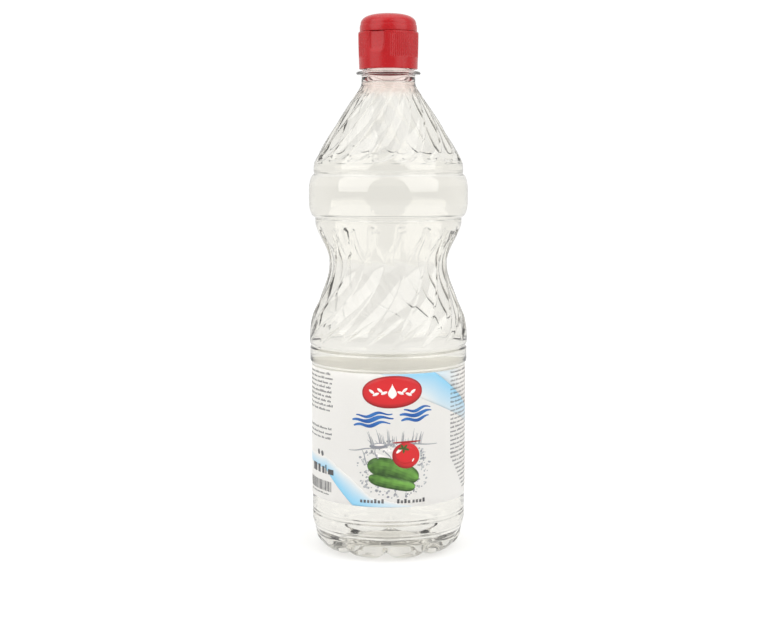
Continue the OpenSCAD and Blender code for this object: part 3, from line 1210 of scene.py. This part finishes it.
    def print_splash(self) -> None:
        """Prints the waterline and the thin grey strokes and drops of a splash."""
        chance = np.random.default_rng(7)
        waterline, middle, reach = 61.4, (3.0, 49.0), (15.5, 12.0)
        for points, thick in (
            (((-21, 58.2), (-14, 57.8), (-12, 60.6), (-7, 59.3)), 0.5),
            (((-8, 60.2), (-4, 59.4), (-1, 62.4), (3, 61.9)), 1.1),
            (((2, 61.9), (9, 63.9), (15, 60.6), (26.5, 60.9)), 0.5),
            (((-13.5, 58.6), (-11.5, 55.5), (-12.5, 52.0), (-9.5, 49.8)), 0.45),
            (((-6.5, 59.5), (-8.0, 56.5), (-4.5, 54.5), (-3.5, 52.4)), 0.6),
            (((-2, 58.8), (-1.0, 56.5), (0.0, 57.5), (1.8, 54.0)), 0.5),
        ):
            path = bezier(*points, count=40)
            self.stroke("grey", 3, path, thick * (0.35 + np.sin(np.linspace(0.1, 3.0, 40))), 0.25)
        self.oval("grey", 4, (-5.2, 61.0), (4.4, 1.5), 3, 2.0, lambda x, y: 0.05 + 0.25 * (y > 0.3), 21)
        self.oval("pale", 5, (-4.6, 61.5), (2.6, 0.5), 3, 2.0, None, 15)
        self.oval("red", 4, (9.4, 62.9), (7.4, 0.5), 2, 2.0, 0.9)
        for points, thick in (
            (((-7.5, 58.6), (-6.0, 54.5), (-2.5, 56.0), (0.5, 53.6)), 2.2),
            (((-3.5, 59.0), (-1.0, 60.2), (0.5, 57.0), (3.2, 60.0)), 1.7),
        ):
            path = bezier(*points, count=30)
            self.stroke("pale", 2, path, thick * np.sin(np.linspace(0.1, 3.0, 30)))
        for _ in range(34):
            start = chance.uniform(-9, 17)
            lean = (start - 4) * 0.14 + chance.normal(0, 0.5)
            tall = chance.uniform(2.5, 8.5)
            bend, tip = (start + 0.2 * lean, waterline + 0.5 * tall), (start + lean, waterline + tall)
            path = bezier((start, waterline), bend, tip, count=14)
            self.stroke("grey", 2, path, np.linspace(0.62, 0.12, 14), chance.uniform(0.1, 0.7))
        for _ in range(210):
            a = chance.uniform(0, 2 * np.pi)
            out = chance.uniform(0.8, 1.25)
            place = (middle[0] + reach[0] * out * math.cos(a), middle[1] + reach[1] * out * math.sin(a))
            size = chance.uniform(0.2, 0.62)
            tilt = chance.uniform(0, 90)
            self.oval("grey", 2, place, (size * 1.3, size), tilt, 2.0, chance.uniform(0.1, 0.8), 7)

    def print_vegetables(self) -> None:
        """Prints two green cucumbers under a tomato: shaded strokes and ovals."""
        tomato, stalk = (9.0, 56.0), (7.6, 59.4)
        for points, wide, light in (
            (((-10.4, 49.2), (-3, 52.8), (5, 49.0), (15.6, 43.6)), 9.4, 0.62),
            (((-10.2, 44.8), (-2, 42.4), (5, 41.8), (13.8, 39.4)), 6.2, 0.85),
        ):
            path = bezier(*points, count=46)
            t = np.linspace(0, 1, 46)
            width = wide * np.power(np.clip(1 - np.abs(2 * t - 1) ** 5, 0.001, 1), 0.5)
            for layer, share, shade in ((3, 1.0, 0.0), (4, 0.78, 0.35), (5, 0.5, 0.7), (6, 0.22, 1.0)):
                lift = np.stack([0 * t, 0.35 * (1 - share) * width * 0.5], axis=1)
                mottle = 0.1 * np.sin(19 * t + 6 * share) + 0.06 * np.sin(47 * t)
                fade = shade * light * (0.45 + 0.85 * t) + mottle
                self.stroke("green", layer, path + lift, width * share, fade)
        self.oval(
            "red", 7, tomato, (7.1, 6.6), -6, 2.0,
            lambda x, y: np.clip((x - 0.25) ** 2 + (y - 0.1) ** 2, 0, 1.4) ** 1.6 * 0.55, 41,
        )
        self.oval("red", 8, (tomato[0], 56.4), (5.2, 4.6), -6, 2.0, lambda x, y: 0.12 * (x * x + y * y), 33)
        for place, half, tilt in (((5.4, 58.6), (1.9, 0.7), 42), ((12.6, 53.6), (1.0, 0.35), 60)):
            self.oval("pale", 9, place, half, tilt, 2.0, 0.0, 13)
        for end in ((4.6, 59.4), (6.0, 61.6), (9.6, 61.4), (10.6, 58.6), (7.6, 57.0)):
            middle = ((stalk[0] + end[0]) / 2 + 0.3, (stalk[1] + end[1]) / 2 + 0.5)
            path = bezier(stalk, middle, end, count=12)
            path = path if end[0] > stalk[0] else path[::-1]
            t = np.linspace(0, 1, 12)
            self.stroke("green", 10, path, 0.2 + np.sin(np.pi * t), 0.05)

    def print_small(self) -> None:
        """Prints the small print, the caption, the quantity's bars and the bar code as plain bars."""
        for k, z in enumerate(np.arange(95.0, 74.5, -2.35)):
            self.greek(-60, -31.3 - 0.3 * (k % 3), z, 1.25, 20 + k)
        for k, z in enumerate((66.6, 64.0, 61.6)):
            self.greek(-58, -31.6 - 0.5 * k, z, 1.15, 40 + k)
        for k, z in enumerate(np.arange(95.6, 33.0, -2.2)):
            left = 36.6 if z > 52 else 36.6 + (52 - z) * 0.75
            self.greek(left, 63, z, 1.15, 60 + k)
        for left, right, seed in ((-14.6, -1.0, 101), (1.6, 2.6, 102), (4.4, 20.1, 103)):
            self.greek(left, right + 0.4, 31.6, 2.3, seed)
        for left, right, high in ((-52, -46.5, 47.6), (-45, -42.4, 47.6), (-40.6, -38.4, 47.0),
                                  (-37.6, -36.6, 48.0), (-35.4, -31.0, 46.2)):
            self.bar(left, right, 43.4, high, 0.15)
        for place in ((-44.2, 53.9), (-40.4, 53.6)):
            self.oval("black", 3, place, (1.15, 1.4), 20, 2.4, 0.3, 13)
        chance = np.random.default_rng(11)
        place = -57.0
        while place < -32.9:
            wide = chance.choice([0.3, 0.5, 0.8])
            self.bar(place, min(place + wide, -32.7), 34.4, 39.6, 0.2)
            place += wide + chance.choice([0.35, 0.6])
        self.greek(-56, -33.2, 32.6, 0.9, 120)

    def print_all(self) -> List[bpy.types.Object]:
        """Prints the whole label.

        Returns:
            The films of ink.
        """
        self.print_sky()
        self.print_badge()
        self.print_waves()
        self.print_splash()
        self.print_vegetables()
        self.print_small()
        return self.build_prints()


# ------------------------------------------------------------------- closure


@dataclass
class FlipTopCap:
    """The red screw cap with its skirt, thumb scoop, deck and spout."""

    skirt_r: float = 15.5
    skirt_foot_r: float = 15.05
    bore_r: float = 13.45
    z_skirt: float = 250.1
    z_deck: float = 268.9
    z_rim: float = 266.9
    spout_r: float = 4.0
    spout_bore_r: float = 2.6
    spout_h: float = 3.0
    edge: float = 0.45
    thumb_angle: float = -24.0
    thumb_d: float = 1.5
    thumb_half_w: float = 4.7
    thumb_h: float = 10.2
    ribs: int = 84
    rib_d: float = 0.2
    columns: int = 672

    def outline(self) -> Array:
        """Closed half outline: up the skirt, in over the deck, up the spout, down its bore and back.

        The skirt's side swells by a quarter sine, and its corners are round arcs.

        Returns:
            Points of (radius, height).
        """
        z = np.linspace(self.z_skirt + 0.5, self.z_deck - self.edge - 0.05, 46)
        t = (z - self.z_skirt) / (self.z_deck - self.z_skirt)
        swell = (self.skirt_r - self.skirt_foot_r) * np.sin(np.pi / 2 * t)
        side = np.stack([self.skirt_foot_r + swell, z], axis=1)
        foot = arc((self.skirt_foot_r - 0.3, self.z_skirt + 0.3), 0.3, -90, 0, 5)
        shoulder = arc((self.skirt_r - self.edge, self.z_deck - self.edge), self.edge, 0, 90, 6)
        root = arc((self.spout_r + 0.4, self.z_deck + 0.4), 0.4, 270, 180, 5)
        top = self.z_deck + self.spout_h
        lip = arc((self.spout_r - 0.4, top - 0.4), 0.4, 0, 90, 5)
        throat = arc((self.spout_bore_r + 0.25, top - 0.25), 0.25, 90, 180, 4)
        return np.concatenate(
            [
                foot, side, shoulder, [[12.5, self.z_deck], [8, self.z_deck]], root, lip, throat,
                [[self.spout_bore_r, 270], [self.spout_bore_r, self.z_rim]],
                [[8, self.z_rim], [self.bore_r - 0.2, self.z_rim], [self.bore_r, self.z_rim - 0.2]],
                [[self.bore_r, 260], [self.bore_r, self.z_skirt + 0.25], [self.bore_r + 0.25, self.z_skirt]],
            ]
        )

    def build(self) -> bpy.types.Object:
        """Builds the cap.

        The ribs are a power of a cosine round the skirt. The scoop is one
        minus the sum of powers of the way to its side and to its foot.

        Returns:
            The cap.
        """
        outline = self.outline()
        angles = np.linspace(0, 2 * np.pi, self.columns, endpoint=False)
        r = np.broadcast_to(outline[:, :1], (len(outline), self.columns)).copy()
        z = outline[:, 1:2]
        away = (angles - math.radians(self.thumb_angle) + np.pi) % (2 * np.pi) - np.pi
        skin = ((outline[:, 0] > 13.9) & (outline[:, 1] > self.z_skirt + 0.1))[:, None]
        high = ease(255.5, 256.6, z) * (1 - ease(self.z_deck - 1.3, self.z_deck - 0.6, z))
        clear = 1 - np.exp(-((away / 0.46) ** 6))
        rib = (0.5 + 0.5 * np.cos(self.ribs * angles)) ** 2
        edge = np.abs(away * self.skirt_r / self.thumb_half_w) ** 4 + np.clip(
            (self.z_deck - z) / self.thumb_h, 0, None
        ) ** 3
        scoop = self.thumb_d * np.clip(1 - edge, 0, 1) ** 0.55
        r -= skin * (self.rib_d * high * clear * rib + scoop)
        piece = turned_object("cap_skirt", wrap(r, angles, z), closed=True)
        dress(piece, RED.material(), Body.BOTTLE)
        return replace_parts(piece, "cap")


@dataclass
class FlipLid:
    """The domed lid with its plug, and the hinge's lugs and strap."""

    lid_r: float = 14.7
    lid_h: float = 9.35
    band_h: float = 3.8
    lid_wall: float = 1.2
    step: float = 0.35
    z_lid: float = 269.05
    z_deck: float = 268.9
    plug_r: float = 1.8
    plug_foot: float = 1.35
    hinge_r: float = 16.0
    hinge_turn: float = 156.0
    hinge_half_w: float = 4.0
    hinge_t: float = 1.2
    columns: int = 240

    def crown(self, inset: float, count: int) -> Array:
        """Outline of the crown from its foot to the axis: powers of a cosine and a sine.

        Args:
            inset: How far it lies inside the outer face.
            count: Number of points.

        Returns:
            Points of (radius, height over the lid's foot).
        """
        a = np.pi / 2 * (1 - (1 - np.linspace(0, 0.998, count)) ** 1.5)
        side, top = self.lid_r - self.step - inset, self.lid_h - inset
        return np.stack(
            [side * np.cos(a) ** 0.7, self.band_h + (top - self.band_h) * np.sin(a) ** 0.9], axis=1
        )

    def build_lid(self) -> bpy.types.Object:
        """Builds the lid as one closed turned solid, from the plug's foot to the crown's middle.

        Returns:
            The lid.
        """
        under = self.crown(self.lid_wall, 40)[::-1]
        under = under[under[:, 0] > self.plug_r + 0.7]
        roof = under[0, 1]
        outline = np.concatenate(
            [
                [[0.4, self.plug_foot], [1.1, self.plug_foot]],
                arc((self.plug_r - 0.3, self.plug_foot + 0.3), 0.3, -90, 0, 5),
                [[self.plug_r, 4.5], [self.plug_r, roof - 0.5]],
                arc((self.plug_r + 0.4, roof - 0.4), 0.4, 180, 90, 4),
                under,
                [[self.lid_r - self.lid_wall, 2.0], [self.lid_r - self.lid_wall, 0.25]],
                arc((self.lid_r - self.lid_wall + 0.2, 0.2), 0.2, 180, 270, 4),
                arc((self.lid_r - 0.25, 0.25), 0.25, -90, 0, 5),
                [[self.lid_r + 0.03, 1.0], [self.lid_r + 0.04, 1.8], [self.lid_r, 2.7]],
                arc((self.lid_r - 0.45, 3.1), 0.38, 8, 80, 6),
                self.crown(0, 60),
            ]
        )
        outline[:, 1] += self.z_lid
        angles = np.linspace(0, 2 * np.pi, self.columns, endpoint=False)
        piece = turned_object("lid_crown", spin(outline, angles), closed=False)
        dress(piece, RED.material(), Body.LID)
        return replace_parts(piece, "lid")

    def build_hinge(self) -> List[bpy.types.Object]:
        """Builds a lug on the cap, a lug on the lid, and the thin strap between them.

        Returns:
            The two lugs and the strap.
        """
        half = (1.25, self.hinge_half_w, self.hinge_t / 2)
        middle = self.hinge_r - half[0]
        material = RED.material()
        lugs = []
        for name, z, body in (
            ("hinge_lug_cap", self.z_deck - half[2], Body.BOTTLE),
            ("hinge_lug_lid", self.z_lid + half[2], Body.LID),
        ):
            lug = pillow(name, (middle, 0, z), half, self.hinge_turn, 0.3)
            lugs.append(dress(lug, material, body))
        line = (self.z_deck + self.z_lid) / 2
        centre = (self.hinge_r + 0.02, 0, line)
        strap = pillow("hinge_strap", centre, (0.16, self.hinge_half_w - 0.7, 1.05), self.hinge_turn, 0.45)
        strap.data.materials.append(material)
        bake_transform(strap)
        LOG.info("%s: %d faces", strap.name, len(strap.data.polygons))
        return lugs + [strap]


# -------------------------------------------------------------------- studio


@dataclass
class Studio:
    """Pale floor, soft boxes, a white room and the camera. Sizes are in metres."""

    box_reach: float = 1.15
    box_azimuth: float = 52.0
    box_low: float = 2.0
    box_high: float = 62.0
    box_wide: float = 50.0
    box_glow: float = 1.65
    top_glow: float = 0.82
    back_glow: float = 0.9
    front_glow: float = 0.76
    front_gloss: float = 0.3
    floor_glow: float = 0.68
    seen_glow: Span = (0.36, 0.56)
    seen_reach: Span = (0.08, 0.6)
    front_to_back: Span = (-0.55, 0.45)
    seen_white: float = 1.05
    lens: float = 68.05
    camera_place: Triple = (-0.0002, -0.765, 0.2088)
    camera_dip: float = 6.206

    def soft_box(
        self, name: str, azimuth: float, elevation: float, width: float, height: float, reach: float,
        glow: float, tint: Colour,
    ) -> None:
        """Hangs a square soft box that looks at the bottle's middle.

        Args:
            name: Name of the lamp.
            azimuth: Direction from the front towards +X, in degrees.
            elevation: Height angle in degrees.
            width: Width in metres.
            height: Height in metres.
            reach: Distance in metres.
            glow: Radiance of its face.
            tint: Colour of its light.
        """
        lamp = bpy.data.lights.new(name, "AREA")
        lamp.shape = "RECTANGLE"
        lamp.size, lamp.size_y = width, height
        lamp.color = tint
        lamp.energy = glow * math.pi * width * height
        holder = bpy.data.objects.new(name, lamp)
        a, e = math.radians(azimuth), math.radians(elevation)
        holder.location = (
            reach * math.cos(e) * math.sin(a), -reach * math.cos(e) * math.cos(a), 0.15 + reach * math.sin(e)
        )
        holder.rotation_euler = (math.pi / 2 - e, 0, a)
        bpy.context.scene.collection.objects.link(holder)

    def build_lights(self) -> None:
        """Hangs a soft box at each side of the front and a broad one overhead."""
        middle = (self.box_low + self.box_high) / 2
        width = 2 * self.box_reach * math.tan(math.radians(self.box_wide / 2))
        height = 2 * self.box_reach * math.tan(math.radians((self.box_high - self.box_low) / 2))
        for name, azimuth in (("soft_box_left", -self.box_azimuth), ("soft_box_right", self.box_azimuth)):
            self.soft_box(name, azimuth, middle, width, height, self.box_reach, self.box_glow, (1, 1, 0.99))
        self.soft_box("soft_box_top", 0, 89.9, 1.2, 1.2, 1.3, self.top_glow, (1, 1, 1))

    def build_floor(self) -> None:
        """Lays a plain pale floor that glows slightly.

        Where it is seen it is paler, and its glow rises with the distance from
        the axis until it is as light as the room.
        """
        u, v = np.meshgrid(np.linspace(-2000, 2000, 13), np.linspace(-2000, 2000, 13))
        points = np.stack([u, v, np.zeros_like(u)], axis=-1).reshape(-1, 3)
        floor = mesh_object("floor", points, sheet_quads(13, 13))
        n = Nodes(bpy.data.materials.new("pale floor"))
        lit, seen = (
            n.add("ShaderNodeBsdfPrincipled", {
                "Base Color": (pale, pale, pale, 1), "Roughness": 0.85, "Specular IOR Level": 0.1,
                "Emission Color": (1, 1, 1, 1), "Emission Strength": self.floor_glow,
            })
            for pale in (0.2, 0.6)
        )
        away = n.add("ShaderNodeVectorMath", operation="LENGTH")
        n.join(n.place(), away.inputs[0])
        glow = n.span(away.outputs["Value"], self.seen_reach, self.seen_glow)
        n.join(glow, seen.inputs["Emission Strength"])
        camera = n.add("ShaderNodeLightPath").outputs["Is Camera Ray"]
        floor.data.materials.append(n.finish(n.mix(camera, lit.outputs["BSDF"], seen.outputs["BSDF"])))

    def build_room(self) -> None:
        """Makes the room: plain white where it is seen, and for light a white back and a dimmer front.

        Glossy rays find a front that is dimmer still, so that the plastic keeps its dark edges.
        """
        world = bpy.data.worlds.new("white_room")
        bpy.context.scene.world = world
        n = Nodes(world, "ShaderNodeOutputWorld")
        path = n.add("ShaderNodeLightPath")
        depth = n.axis(n.place("Generated"), "Y")
        gloss = n.add("ShaderNodeMix")
        n.join(path.outputs["Is Glossy Ray"], gloss.inputs["Factor"])
        for socket, front in ((2, self.front_glow), (3, self.front_gloss)):
            n.join(n.span(depth, self.front_to_back, (front, self.back_glow)), gloss.inputs[socket])
        lit = n.add("ShaderNodeBackground", {"Color": (1.0, 0.995, 0.975, 1)})
        seen = n.add("ShaderNodeBackground", {"Color": (1, 1, 1, 1), "Strength": self.seen_white})
        n.join(gloss.outputs[0], lit.inputs["Strength"])
        camera = path.outputs["Is Camera Ray"]
        n.finish(n.mix(camera, lit.outputs["Background"], seen.outputs["Background"]))

    def build_camera(self) -> None:
        """Sets the camera in front, a little above the bottle's middle and looking slightly down."""
        data = bpy.data.cameras.new("camera")
        data.lens = self.lens
        data.sensor_width = 36.0
        data.clip_start = 0.01
        camera = bpy.data.objects.new("camera", data)
        camera.location = self.camera_place
        camera.rotation_euler = (math.radians(90 - self.camera_dip), 0, 0)
        bpy.context.scene.collection.objects.link(camera)
        bpy.context.scene.camera = camera

    def build(self) -> None:
        """Builds the whole studio."""
        self.build_camera()
        self.build_floor()
        self.build_room()
        self.build_lights()
        bpy.context.scene.view_settings.view_transform = "Standard"


def main() -> None:
    """Builds the studio and every piece of the bottle."""
    logging.basicConfig(level=logging.INFO, format="%(name)s: %(message)s")
    Studio().build()
    body = BottleBody()
    body.build_wall()
    body.build_vinegar()
    label = WrapLabel()
    label.build_film()
    label.print_all()
    FlipTopCap().build()
    lid = FlipLid()
    lid.build_lid()
    lid.build_hinge()


if __name__ == "__main__":
    main()
